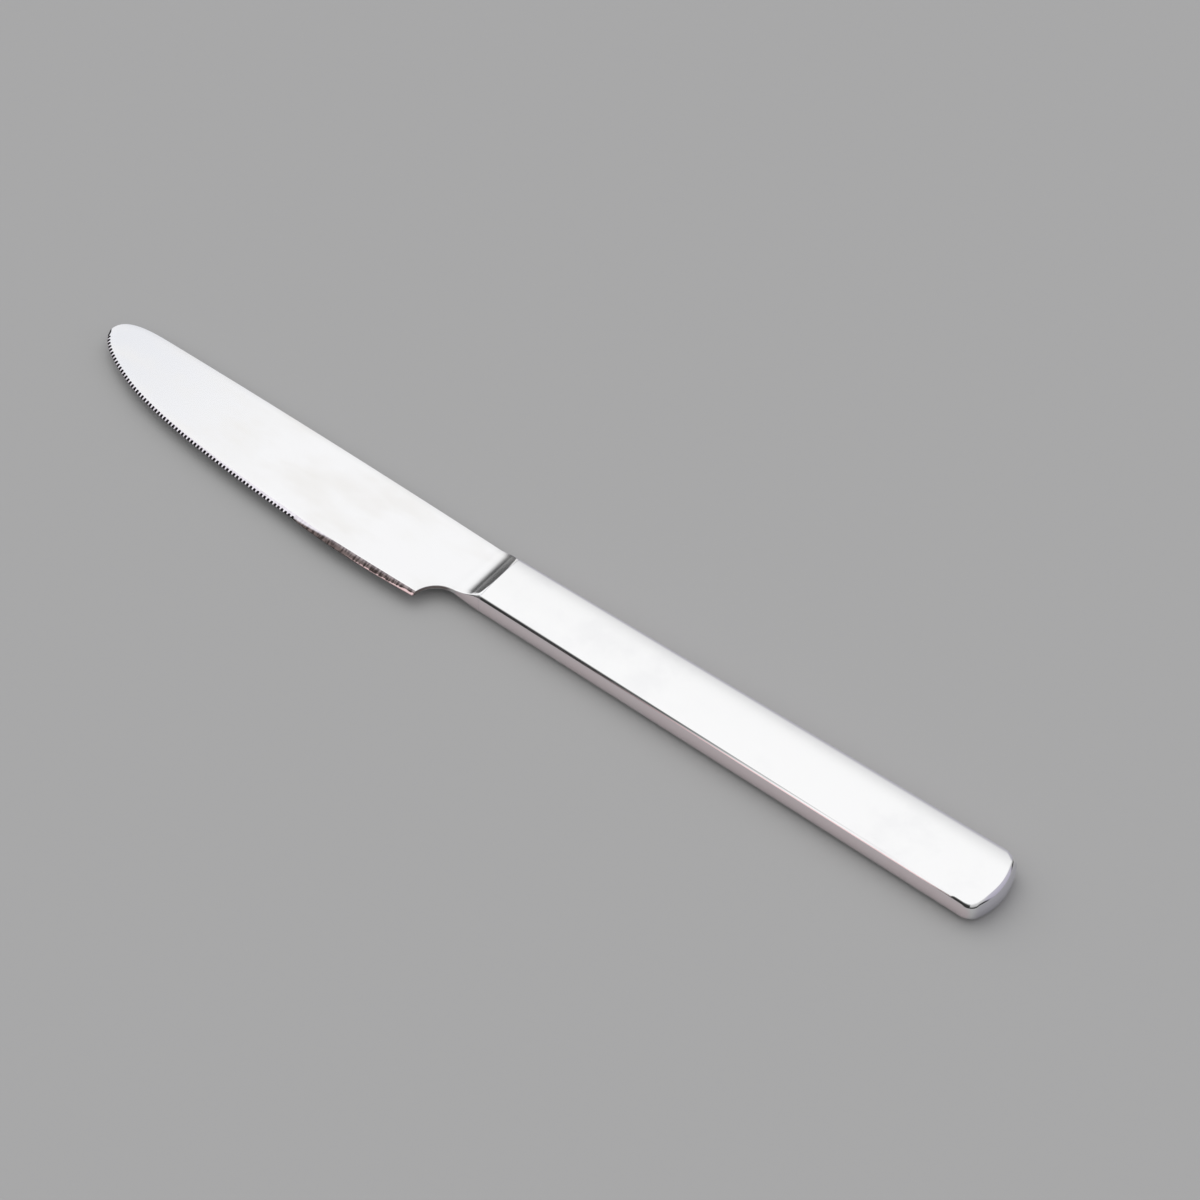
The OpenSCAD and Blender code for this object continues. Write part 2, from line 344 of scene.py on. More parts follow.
def handle_stations():
    """Base point, inward direction, inset and corner swelling of every station, from the
    mouth to the axis."""
    inward = (math.sin(side_angle), -math.cos(side_angle))
    out = []
    side_end = hub_x - CORNER_R * math.sin(side_angle)
    for inset, step in MOUTH_ROUNDING:
        x = MOUTH_X + step * MOUTH_ROUND
        out.append(((x, half_width(x)), inward, inset * MOUTH_ROUND, 0.0))
    for i in range(1, SIDE_STATIONS):
        x = mix(MOUTH_X, side_end, i / SIDE_STATIONS)
        out.append(((x, half_width(x)), inward, 0.0, 0.0))
    for i in range(CORNER_STATIONS):
        turn = mix(math.pi / 2 + side_angle, butt_turn, i / CORNER_STATIONS)
        base = (hub_x + CORNER_R * math.cos(turn), hub_y + CORNER_R * math.sin(turn))
        swell = math.sin(math.pi * i / CORNER_STATIONS)
        out.append((base, (-math.cos(turn), -math.sin(turn)), 0.0, swell))
    for i in range(BUTT_STATIONS + 1):
        turn = mix(butt_turn, 0.0, i / BUTT_STATIONS)
        base = (arc_x + BUTT_R * math.cos(turn), BUTT_R * math.sin(turn))
        out.append((base, (-math.cos(turn), -math.sin(turn)), 0.0, 0.0))
    return out


def handle_grid(extra, corner):
    """Far upper quarter of the handle's form, set in by extra."""
    stations = handle_stations()
    run = [0.0]
    for p, q in zip(stations, stations[1:]):
        run.append(run[-1] + math.dist(p[0], q[0]))
    bend_run = next(r for r, station in zip(run, stations) if station[0][0] > CENTRE_BEND)
    grid = []
    for (base, inward, inset, swell), r in zip(stations, run):
        whole = inset + extra
        share = max(0.0, (r - bend_run) / (run[-1] - bend_run))
        centre_x = base[0] if r < bend_run else mix(CENTRE_BEND, CENTRE_END, 1 - (1 - share) ** CENTRE_PACE)

        def face(x, y, whole=whole):
            return crown(y, whole)

        rounded = corner * (1 + CORNER_SWELL * swell)
        depths = [whole + d for d in HANDLE_DEPTHS]
        row = section(base, inward, face, rounded, (centre_x, 0.0), HANDLE_ROWS, inset=whole, depths=depths)
        grid.append(row)
    return grid


outer = handle_grid(0.0, HANDLE_CORNER)
inner = handle_grid(WALL_T, INNER_CORNER)
inner[0] = [(MOUTH_X, p[1], p[2]) for p in inner[0]]
print("handle grid:", len(outer), "stations of", len(outer[0]), "points")

# %% [markdown]
# ### Two half shells
# A half shell is an outside, an inside set in by the wall, and the narrow rims that close
# it along the seam and at the mouth. The same quarter of the handle, mirrored, gives all
# of them, so the two shells meet along the seam point for point.

# %% Two half shells
def shell(name, side):
    """Upper half shell for side 1, lower for side -1: outside, inside, seam rim and mouth."""
    grids = []
    for y in (1, -1):
        outside, inside = mirrored(outer, y, side), mirrored(inner, y, side)
        rim = [[a[0], b[0]] for a, b in zip(outside, inside)]
        mouth = [outside[0], inside[0]]
        grids += [(outside, plain), (inside, plain), (rim, plain), (mouth, plain)]
    made = piece(name, grids)
    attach(made, "root")
    return made


shell_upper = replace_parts(shell("shell_upper", 1), "handle_shell_upper")
shell_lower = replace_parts(shell("shell_lower", -1), "handle_shell_lower")

# %% [markdown]
# ## Blade
# The blade is forged with its bolster in one piece, then ground: the faces thin towards
# the edge, a narrow bevel runs along the edge, and a wheel cuts the serrations through
# it. The outline is five curves: spine, nose, the front and rear of the belly, and heel,
# then the round hollow behind the heel. The lower rim gets a station for every corner of
# every serration, and a matching one on the spine, so that the two halves meet along a
# line of shared points in the middle of the blade.

# %% Outline of the blade
TIP_X = -118.5
SPINE_RISE = 8.7
EDGE_DEPTH = 13.6
BEVEL_LEN = 2.1
FILLET_LEN = 6.4
FILLET_R = 13.5
NECK_LEN = 4.3
CHOIL_R = 6.1
LAND_SHARE = 0.12
NECK_PROUD = 0.06

blade_len = MOUTH_X - TIP_X
crest_x = MOUTH_X - BEVEL_LEN
fillet_x = crest_x - FILLET_LEN
neck_x = crest_x - NECK_LEN
heel_x = neck_x - CHOIL_R
land_x = neck_x + LAND_SHARE * CHOIL_R


def along(share):
    return MOUTH_X - share * blade_len


def below(share, depth):
    return (along(share), -depth * EDGE_DEPTH)


spine_start = (land_x, half_width(land_x) + NECK_PROUD)
spine_mid = (along(0.4891), SPINE_RISE)
spine_end = (along(0.8907), SPINE_RISE)
first_pull = mix_points(spine_start, spine_mid, 2 / 3)
second_pull = mix_points(spine_end, spine_mid, 2 / 3)
spine_curve = (spine_start, first_pull, second_pull, spine_end)
nose = (TIP_X, 0.448 * SPINE_RISE)
nose_curve = (spine_end, (along(0.9493), SPINE_RISE), (TIP_X, 0.928 * SPINE_RISE), nose)
before_join, after_join = below(0.9195, 0.279), below(0.7734, 0.76)
join = mix_points(before_join, after_join, 0.224)
front_curve = (nose, (TIP_X, -0.032 * EDGE_DEPTH), before_join, join)
rear_curve = (join, after_join, below(0.511, 0.884), below(0.3957, 0.942))
heel_curve = (below(0.3957, 0.942), below(0.3291, 1.011), below(0.2267, 1.018), below(0.1005, 0.965))

CURVE_STEPS = 80


def drawn(*curves):
    points = [curves[0][0]]
    for curve in curves:
        points += [bezier(curve, i / CURVE_STEPS) for i in range(1, CURVE_STEPS + 1)]
    return points


belly = Path(drawn(front_curve, rear_curve))
heel = Path(drawn(heel_curve))
spine = Path([(MOUTH_X, half_width(MOUTH_X))] + drawn(spine_curve, nose_curve))
back = Path(spine.points[::-1])
print("serrated edge", round(belly.length, 2), "mm, spine and nose", round(back.length, 2), "mm")

# %% [markdown]
# ### Faces of the blade and the bolster
# In height the forging is three forms: the ground face, the hollow fillet behind the neck,
# and the bevel that rises to the mouth of the handle. Each is a short formula for its
# height over a point in plan, and soft maximum and minimum run them into one skin.

# %% Faces of the blade and the bolster
SPINE_T = 1.5
GRIND_T = 0.9
LIP_T = 0.24
TIP_TAPER = math.radians(0.15)
FLOW = 0.12
CREST_FLOW = 0.05
BEVEL_START = 0.92

edge_taper = math.atan((SPINE_T - GRIND_T) / 2 / (SPINE_RISE + EDGE_DEPTH))
face_z = GRIND_T / 2
crest_z = face_z + FILLET_R - math.sqrt(FILLET_R**2 - FILLET_LEN**2)


def ground_face(x, y):
    """Height of the ground face: it thins towards the edge and the tip."""
    return SPINE_T / 2 + math.tan(TIP_TAPER) * (x - MOUTH_X) + math.tan(edge_taper) * (y - SPINE_RISE)


def bolster(x):
    """Height of the hollow fillet, and of the slightly hollow bevel behind it."""
    if x < fillet_x:
        return face_z
    if x < crest_x:
        return face_z + FILLET_R - math.sqrt(FILLET_R**2 - (x - fillet_x) ** 2)
    t = min(1.0, (x - crest_x) / BEVEL_LEN)
    return mix(crest_z, HALF_T, BEVEL_START * t + (1 - BEVEL_START) * t * t)


def skin(x, y):
    """Height of the blade's upper skin anywhere in plan."""
    forged = soft_max(ground_face(x, y), bolster(x), FLOW)
    return soft_min(forged, crown(y), CREST_FLOW)


print("bolster rises from", round(face_z, 2), "to", round(crest_z, 2), "and", round(HALF_T, 2), "mm")

# %% [markdown]
# ### Serrations and the edge bevel
# Each serration is a small cut with sloping flanks and a rounded root, ground in at a
# slant from both faces, a little deeper at the nose than at the heel. Half of its shape is
# given once, as shares of the pitch and of the depth, and the stations of a serration are
# the corners of that shape. The bevel opens round the nose. Its slope falls from there to
# the heel, so it shows as a fine band beside the serrations and as a broad one along the
# heel. Each kind of edge has its own short function that lists its stations.

# %% Stations along the lower rim
TOOTH_PITCH = 1.05
TOOTH_DEPTH = 0.6
FIRST_TOOTH = 2.6 * TOOTH_PITCH
LAST_TOOTH_SHARE = 0.31
HALF_NOTCH_SHARES = ((0.38, 0.0), (0.31, 0.5), (0.26, 0.9), (0.15, 1.0))
SERRATED_RUN = 0.5
BEVEL_RUN = 1.1
BEVEL_SWELL = 0.3

notch_shares = [(-a, b) for a, b in HALF_NOTCH_SHARES] + list(HALF_NOTCH_SHARES[::-1])
tooth_count = int((belly.length - FIRST_TOOTH) / TOOTH_PITCH - LAST_TOOTH_SHARE) + 1
bevel_rise = (GRIND_T - LIP_T) / 2
plain_slope = bevel_rise / BEVEL_RUN


def edge_y(x):
    """Where the plain edge is at x, and on past the heel."""
    p = heel.at(heel.run_at_x(min(x, heel_x)))
    return p[1] if x > heel.points[0][0] else heel.points[0][1]


def slope_at(x):
    """Slope of the plain bevel, which is widest in the middle of the heel's edge."""
    share = (x - heel.points[0][0]) / (heel_x - heel.points[0][0])
    return plain_slope / (1 + BEVEL_SWELL * math.sin(math.pi * max(0.0, min(1.0, share))))


def plain_bevel(x, y):
    return LIP_T / 2 + slope_at(x) * max(0.0, y - edge_y(x))


# %% Stations by kind of edge
Station = namedtuple("Station", "kind base inward cut slope corner run")
NOSE_STEPS = 8
NOSE_RUN = 2.2
NOSE_REACH = 1.2
HEEL_REACH = 0.8
EDGE_CORNER = 0.03
SPINE_CORNER = 0.08
HEEL_ROUND = 0.3
PLAIN_STATIONS = 30
HEEL_CORNER_STATIONS = 5
HOLLOW_STATIONS = 40
HOLLOW_EASE = 0.4

heel_end = heel.run_at_x(heel_x - HEEL_ROUND)
heel_corner_y = heel.at(heel_end)[1] + HEEL_ROUND


def serrated_stations():
    """From the nose to the end of the belly. run is the length of edge from the nose."""
    marks = [(i / NOSE_STEPS * NOSE_RUN, 0.0) for i in range(NOSE_STEPS)]
    for i in range(tooth_count):
        middle = FIRST_TOOTH + i * TOOTH_PITCH
        reach = mix(NOSE_REACH, HEEL_REACH, middle / belly.length) * TOOTH_DEPTH
        marks += [(middle + a * TOOTH_PITCH, b * reach) for a, b in notch_shares]
        marks.append((middle + 0.5 * TOOTH_PITCH, 0.0))
    out = []
    for s, cut in [m for m in marks if m[0] <= belly.length]:
        hx, hy = belly.heading(s) if s > 0 else (0.0, -1.0)
        slope = bevel_rise / mix(SERRATED_RUN, BEVEL_RUN, s / belly.length)
        out.append(Station("serrated", belly.at(s), (-hy, hx), cut, slope, EDGE_CORNER, s))
    return out


def plain_stations():
    """Along the heel's plain edge, up to the round of its corner."""
    out = []
    for i in range(1, PLAIN_STATIONS + 1):
        s = i / PLAIN_STATIONS * heel_end
        hx, hy = heel.heading(s)
        base = heel.at(s)
        out.append(Station("plain", base, (-hy, hx), 0.0, slope_at(base[0]), EDGE_CORNER, 0.0))
    return out


def heel_corner_stations():
    out = []
    for i in range(1, HEEL_CORNER_STATIONS + 1):
        turn = math.radians(-90 + 90 / HEEL_CORNER_STATIONS * i)
        x = heel_x - HEEL_ROUND * (1 - math.cos(turn))
        y = heel_corner_y + HEEL_ROUND * math.sin(turn)
        inward = (-math.cos(turn), -math.sin(turn))
        out.append(Station("corner", (x, y), inward, 0.0, plain_slope, EDGE_CORNER, 0.0))
    return out


def hollow_stations():
    """Round the hollow behind the heel, up to the neck."""
    hub = (neck_x, -MOUTH_HALF - CHOIL_R)
    first = math.degrees(math.asin((heel_corner_y - hub[1]) / CHOIL_R))
    out = []
    for i in range(1, HOLLOW_STATIONS + 1):
        share = i / HOLLOW_STATIONS
        turn = math.radians(mix(180 - max(first, 0.0), 90, share))
        base = (hub[0] + CHOIL_R * math.cos(turn), hub[1] + CHOIL_R * math.sin(turn))
        corner = mix(EDGE_CORNER, SPINE_CORNER, eased(0.0, HOLLOW_EASE, share))
        inward = (math.cos(turn), math.sin(turn))
        out.append(Station("hollow", base, inward, 0.0, plain_slope, corner, 0.0))
    return out


lower_rim = serrated_stations() + plain_stations() + heel_corner_stations() + hollow_stations()
print(tooth_count, "serrations,", len(lower_rim), "stations on the lower rim")

# %% [markdown]
# ### Skin of the forging
# Behind the neck the stations run straight across: the fillet, the bevel, the rounded
# step and then the spigot in the handle. Each half of the skin is swept from its own rim
# to a line in the middle, which ends short of the tip, so that the sections fan out
# round the nose.

# %% Stations across the bolster
FILLET_STATIONS = 18
BEVEL_STATIONS = 8
MOUTH_STEPS = (0.5, 0.4, 0.3, 0.22, 0.15, 0.1, MOUTH_ROUND)

bevel_end = MOUTH_X - MOUTH_STEPS[0]
bolster_xs = [mix(neck_x, crest_x, i / FILLET_STATIONS) for i in range(1, FILLET_STATIONS + 1)]
bolster_xs += [mix(crest_x, bevel_end, i / BEVEL_STATIONS) for i in range(1, BEVEL_STATIONS + 1)]
bolster_xs += [MOUTH_X - step for step in MOUTH_STEPS[1:]]
print(len(bolster_xs), "stations across the bolster")


def side_y(x):
    """Half width of the bolster, easing out of the neck."""
    return mix(MOUTH_HALF, half_width(x), eased(neck_x, crest_x, x))


# %% Line in the middle of the blade
NOSE_SHIFT = 7.0
NOSE_ZONE = -95.0

nose_run = belly.run_at_x(NOSE_ZONE)
nose_back = back.run_at_x(NOSE_ZONE)
print("round the nose:", round(nose_run, 1), "mm of lower rim to", round(nose_back, 1), "mm of upper")


def lower_y(x):
    """The lower rim's y at x, for the line in the middle of the blade."""
    if x < belly.points[-1][0]:
        return belly.at(belly.run_at_x(x))[1]
    if x < heel_x:
        return edge_y(x)
    if x < neck_x:
        return -MOUTH_HALF - CHOIL_R + math.sqrt(max(CHOIL_R**2 - (x - neck_x) ** 2, 0.0))
    return -side_y(x)


def upper_y(x):
    return back.at(back.run_at_x(x))[1] if x < land_x else side_y(x)


def in_nose_zone(station):
    return station.kind == "serrated" and station.run < nose_run


def centre_of(station):
    """The point in the middle of the blade that both rims' sections run to."""
    serrated = station.kind == "serrated"
    shift = NOSE_SHIFT * (1 - eased(0.0, nose_run, station.run)) if serrated else 0.0
    x = station.base[0] + shift
    return (x, (lower_y(x) + upper_y(x)) / 2)


# %% Sections of the blade
INNER_ROWS = 4
BEVEL_FLOW = 0.03
CREASE_GAP = 0.06
BAND = 2.0
SPINE_DEPTHS = (1.4, 1.7, BAND)
NOSE_OPEN = 1.5
NOSE_SWELL = 0.36
NOSE_END = 0.4
CUT_SLOPE = 0.95
CUT_SHARE = 0.3


def kind_of(station):
    """The kind of a station, with nose and cut told apart on the serrated edge."""
    if station.kind == "serrated" and station.run < NOSE_RUN:
        return "nose"
    return "cut" if station.cut > CUT_SHARE * TOOTH_DEPTH else station.kind


def spine_section(base, inward, height, centre, corner, bulge=0.0, inset=0.0):
    """A section with no edge bevel: spine, bolster and spigot."""
    depths = [inset + d for d in SPINE_DEPTHS]
    return section(base, inward, height, corner, centre, INNER_ROWS, bulge=bulge, inset=inset, depths=depths)


def upper_section(station):
    """The section on the spine's side that meets a station of the lower rim."""
    back_run = back.run_at_x(station.base[0])
    if in_nose_zone(station):
        back_run = station.run / nose_run * nose_back
    hx, hy = back.heading(back_run) if back_run > 0 else (0.0, 1.0)
    return spine_section(back.at(back_run), (hy, -hx), skin, centre_of(station), SPINE_CORNER)


def bevel_at(station):
    """Height of the lip, slope of the bevel and depth of its crease. The bevel opens
    gradually round the nose."""
    top, lip = skin(*station.base), LIP_T / 2
    run, slope = station.run, station.slope
    crease = (top - lip) / slope
    if kind_of(station) == "nose":
        lip = mix(top, lip, eased(0.0, NOSE_OPEN, run))
        crease = NOSE_END * run / NOSE_RUN + NOSE_SWELL * math.sin(math.pi * run / NOSE_RUN)
        slope = (top - lip) / crease if run > 0 else 1.0
    return lip, slope, crease


def lower_section(station):
    """The section at a station of the lower rim, with the edge bevel and any cut."""
    base, inward = station.base, station.inward
    lip, slope, crease = bevel_at(station)

    def height(x, y):
        depth = (x - base[0]) * inward[0] + (y - base[1]) * inward[1]
        bevel = lip + slope * depth if station.kind == "serrated" else plain_bevel(x, y)
        return soft_min(bevel, skin(x, y), BEVEL_FLOW)

    rows_at = (crease - CREASE_GAP, crease + CREASE_GAP, BAND)
    if station.kind in ("corner", "hollow"):
        rows = {"levels": [edge_y(base[0]) + d for d in rows_at]}
    else:
        rows = {"depths": rows_at}
    shape = {"start": station.cut, "bulge": 0.0, "lean": CUT_SLOPE}
    return section(base, inward, height, station.corner, centre_of(station), INNER_ROWS, **shape, **rows)


# %% Skin of the blade
BOLSTER_CORNER = 0.31
SPIGOT_X = -0.8
BULGE_FROM = neck_x - 0.8
BULGE_TO = neck_x + 2.4
# Place and inset of the stations of the rounded step and the spigot
SPIGOT_STEPS = ((MOUTH_X - 0.3 * MOUTH_ROUND, 0.3 * MOUTH_ROUND), (MOUTH_X, MOUTH_ROUND))
SPIGOT_STEPS += ((MOUTH_X, WALL_T), (SPIGOT_X, WALL_T))


def blade_grids():
    """Upper half of the lower and the upper rim's grids, and the kind of each station."""
    low = [lower_section(station) for station in lower_rim]
    high = [upper_section(station) for station in lower_rim]
    kinds = [kind_of(station) for station in lower_rim]
    for x in bolster_xs:
        bulge = eased(BULGE_FROM, BULGE_TO, x)
        corner = mix(SPINE_CORNER, BOLSTER_CORNER, eased(neck_x, MOUTH_X, x))
        centre = (x, (upper_y(x) + lower_y(x)) / 2)
        low.append(spine_section((x, -side_y(x)), (0.0, 1.0), skin, centre, corner, bulge))
        high.append(spine_section((x, upper_y(x)), (0.0, -1.0), skin, centre, corner, bulge))
        kinds.append("bolster")
    for x, inset in SPIGOT_STEPS:

        def core(x, y, inset=inset):
            return crown(y, inset)

        for grid, y, inward in ((low, -side_y(x), (0.0, 1.0)), (high, side_y(x), (0.0, -1.0))):
            grid.append(spine_section((x, y), inward, core, (x, 0.0), BOLSTER_CORNER, 1.0, inset))
        kinds.append("spigot")
    return low, high, kinds


low_grid, high_grid, kinds = blade_grids()
print("blade grid:", len(low_grid), "stations of", len(low_grid[0]), "points on each rim")

# %% Weld the blade
BEVEL_ROWS = WALL_STEPS + ROUND_STEPS + 1
BLADE_SHARP = 32.0
crease_y = edge_y(heel_x) + BEVEL_RUN


def edge_finish(i, j):
    """1 on the ground bevel, 2 in the cuts and at the nose, 3 in the hollow, 0 elsewhere."""
    if kinds[i] == "nose":
        return 2 if j < BEVEL_ROWS else 0
    if kinds[i] == kinds[i + 1] == "cut" and j < WALL_STEPS + ROUND_STEPS:
        return 2
    if kinds[i] == "hollow" and j < WALL_STEPS:
        return 3
    if kinds[i] == "hollow" and low_grid[i][0][1] > crease_y:
        return 0
    return 1 if kinds[i] not in ("bolster", "spigot") and j < BEVEL_ROWS else 0


grids = []
for z in (1, -1):
    for grid, finish in ((low_grid, edge_finish), (high_grid, plain)):
        grids.append((mirrored(grid, 1, z), finish))
        end = mirrored([grid[-1]], 1, z)[0]
        grids.append(([end, [(p[0], p[1], 0.0) for p in end]], plain))
knife_blade = piece("knife_blade", grids, BLADE_SHARP)
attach(knife_blade, "root")
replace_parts(knife_blade, "blade")

# %% [markdown]
# ### Tang
# Inside the handle a flat tapered tang runs on from the spigot. Its nicked sides give
# the cement something to hold. It is never seen, so a plain outline pulled to its
# thickness is enough.

# %% Tang
TANG_LEN = 58.0
TANG_W = 6.0
TANG_T = 2.6
NICKS = 4
NICK_R = TANG_W / 6
TANG_ROWS = 240
ROOT_STEP = 0.4
tang_root = (MOUTH_X + SPIGOT_X) / 2 + ROOT_STEP
tang_end = SPIGOT_X + TANG_LEN


def tang_half(x):
    """Half width of the tang at x, with its round nicks."""
    share = (x - tang_root) / (tang_end - tang_root)
    width = mix(TANG_W / 2, TANG_W / 4, share)
    for i in range(1, NICKS + 1):
        nick_x = mix(tang_root, tang_end, i / (NICKS + 1))
        width -= math.sqrt(max(NICK_R**2 - (x - nick_x) ** 2, 0.0))
    return width


tang_rows = []
for i in range(TANG_ROWS + 1):
    x = mix(tang_root, tang_end, i / TANG_ROWS)
    w, t = tang_half(x), TANG_T / 2
    tang_rows.append([(x, w, t), (x, -w, t), (x, -w, -t), (x, w, -t), (x, w, t)])
caps = [[row[:2], [row[3], row[2]]] for row in (tang_rows[0], tang_rows[-1])]
tang = piece("tang", [(tang_rows, plain)] + [(cap, plain) for cap in caps])
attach(tang, "root")

# %% [markdown]
# ## Small tools for finishes
# A finish is a node tree. Writing it as arithmetic is easier to read than placing nodes
# one by one, so a small class wraps a socket: an expression such as 1 - mask * 0.5 adds
# the Math nodes that it needs. Any other node comes from its add method.

# %% Node tools
class Wire:
    """A socket of a node tree, for use in Python expressions."""

    def __init__(self, tree, socket=None):
        self.tree, self.socket = tree, socket

    def add(self, kind, settings=None, sockets=None, out=0):
        """Adds a node, sets it up, fills or links its sockets, and wraps one output."""
        node = self.tree.nodes.new(kind)
        for name, value in (settings or {}).items():
            setattr(node, name, value)
        for name, value in (sockets or {}).items():
            if isinstance(value, Wire):
                self.tree.links.new(value.socket, node.inputs[name])
            else:
                node.inputs[name].default_value = value
        return Wire(self.tree, node.outputs[out]) if len(node.outputs) else node

    def calc(self, operation, a, b=0.0):
        return self.add("ShaderNodeMath", {"operation": operation}, {0: a, 1: b})

    def __add__(self, other):
        return self.calc("ADD", self, other)

    def __sub__(self, other):
        return self.calc("SUBTRACT", self, other)

    def __rsub__(self, other):
        return self.calc("SUBTRACT", other, self)

    def __mul__(self, other):
        return self.calc("MULTIPLY", self, other)

    __radd__ = __add__
    __rmul__ = __mul__

    def smooth(self, low, high):
        """0 below low, 1 above high, and a smooth rise between them."""
        settings = {"interpolation_type": "SMOOTHSTEP"}
        return self.add("ShaderNodeMapRange", settings, {"Value": self, "From Min": low, "From Max": high})

    def axis(self, vector, index):
        """One part of a vector: 0 for x, 1 for y, 2 for z."""
        return self.add("ShaderNodeSeparateXYZ", {}, {"Vector": vector}, out=index)

    def noise(self, vector, scale=1.0, detail=3.0, roughness=0.5):
        sockets = {"Vector": vector, "Scale": scale, "Detail": detail, "Roughness": roughness}
        return self.add("ShaderNodeTexNoise", {}, sockets)

    def stretched(self, vector, grain):
        """The vector with its three parts scaled by the three numbers of grain."""
        return self.add("ShaderNodeVectorMath", {"operation": "MULTIPLY"}, {0: vector, 1: grain})

    def blend(self, share, a, b):
        """Colour a where share is 0, colour b where it is 1."""
        return self.add("ShaderNodeMix", {"data_type": "RGBA"}, {0: share, 6: a, 7: b}, out=2)


# %% Helpers for finishes
def rgba(r, g, b):
    return (r, g, b, 1.0)


def grey(value):
    return rgba(value, value, value)


def new_finish(name):
    """Starts a material. Returns it, a Wire to build with, and its coordinates in mm."""
    material = bpy.data.materials.new(name)
    material.use_nodes = True
    tree = material.node_tree
    tree.nodes.clear()
    wire = Wire(tree)
    place = wire.add("ShaderNodeTexCoord", out=3)
    return material, wire, wire.stretched(place, (1 / MM, 1 / MM, 1 / MM))


def finish(wire, colour, rough, **others):
    """Ends a material with a Principled shader, for metal if others don't say otherwise."""
    sockets = {"Base Color": colour, "Metallic": 1.0, "Roughness": rough, **others}
    shader = wire.add("ShaderNodeBsdfPrincipled", {}, sockets)
    wire.add("ShaderNodeOutputMaterial", {}, {"Surface": shader})


def bump(wire, height, depth, under=None):
    """Normal of a surface that is uneven by depth, in mm, on top of the normal under it."""
    sockets = {"Height": height, "Distance": depth * MM, "Strength": 1.0}
    if under is not None:
        sockets["Normal"] = under
    return wire.add("ShaderNodeBump", {}, sockets)


# %% [markdown]
# ## Steel of the handle
# Pressed stainless steel is buffed to a mirror. What gives a real one away is small:
# the sheet waves a little, the buffing wheel leaves faint hairlines along the handle,
# and handling leaves soft smudges that are slightly less glossy. All three come from
# noise: round noise for smudges, and noise stretched along x for waves and hairlines. Every
# depth is in mm. The side walls of the real knife mirror something faintly rosy, and its
# butt something lavender. A flat wall on a grey floor can't mirror those colours, so they
# are painted into the finish as reflections, by the way a surface faces.

# %% Painted reflections on the sides
ROSY_REFLECTION = rgba(0.97, 0.86, 0.88)
LAVENDER_REFLECTION = rgba(0.72, 0.71, 0.77)
SIDEWAYS, ENDWAYS = (0.78, 0.97), (0.55, 0.95)


def painted_side_reflection(wire, colour, share=1.0):
    """Paints a rosy reflection on surfaces that face sideways, and a lavender one on those that face the
    butt.
    """
    normal = wire.add("ShaderNodeTexCoord", out=1)
    sideways = wire.calc("ABSOLUTE", wire.axis(normal, 1)).smooth(*SIDEWAYS)
    endways = wire.axis(normal, 0).smooth(*ENDWAYS)
    colour = wire.blend(endways, colour, LAVENDER_REFLECTION)
    return wire.blend(sideways * share, colour, ROSY_REFLECTION)


# %% Polished shell steel
BUFFED, SMUDGED = rgba(0.95, 0.95, 0.955), rgba(0.91, 0.91, 0.92)
HAIR_GRAIN = (0.06, 9.0, 9.0)
SHEET_GRAIN = (0.05, 0.12, 0.12)
SHEET_WAVE, HAIR_DEPTH = 0.02, 0.0004
SMUDGE_SCALE, SMUDGES, HAIRS = 0.09, (0.45, 0.75), (0.62, 0.8)
SMUDGE_HIDES = 0.25
SHELL_ROUGH, SMUDGE_ROUGH, HAIR_ROUGH = 0.06, 0.05, 0.04


def polished_shell():
    material, wire, mm = new_finish("polished_shell_steel")
    smudge = wire.noise(mm, SMUDGE_SCALE, detail=4.0, roughness=0.6).smooth(*SMUDGES)
    hair = wire.noise(wire.stretched(mm, HAIR_GRAIN), detail=2.0).smooth(*HAIRS)
    wave = wire.noise(wire.stretched(mm, SHEET_GRAIN), detail=1.0)
    # painted reflection: rosy on the side walls and lavender on the butt, weaker where smudged
    colour = painted_side_reflection(wire, wire.blend(smudge, BUFFED, SMUDGED), 1.0 - smudge * SMUDGE_HIDES)
    rough = SHELL_ROUGH + smudge * SMUDGE_ROUGH + hair * HAIR_ROUGH
    normal = bump(wire, hair, HAIR_DEPTH, under=bump(wire, wave, SHEET_WAVE))
    finish(wire, colour, rough, Normal=normal)
    return material


# %% [markdown]
# ## Steel of the blade
# The blade's faces are polished less far than the handle. Fine lines from the polishing
# belt run along the blade, and large soft clouds show where it was pressed on harder.

# %% Satin blade steel
# painted shade: greyer steel at the tip, plain steel behind it
SHADED_TIP, BRIGHT_REAR = rgba(0.83, 0.84, 0.88), rgba(0.95, 0.95, 0.96)
CLOUDED = rgba(0.9, 0.89, 0.88)
CLOUD_GRAIN = (0.05, 0.11, 0.11)
BELT_GRAIN = (0.12, 14.0, 14.0)
FACE_GRAIN = (0.03, 0.08, 0.08)
BELT_DEPTH = 0.0006
TIP_SHADE_FROM, TIP_SHADE_TO = -125.0, -55.0
CLOUDS = (0.4, 0.75)
BLADE_ROUGH, CLOUD_ROUGH, BELT_ROUGH = 0.13, 0.05, 0.06


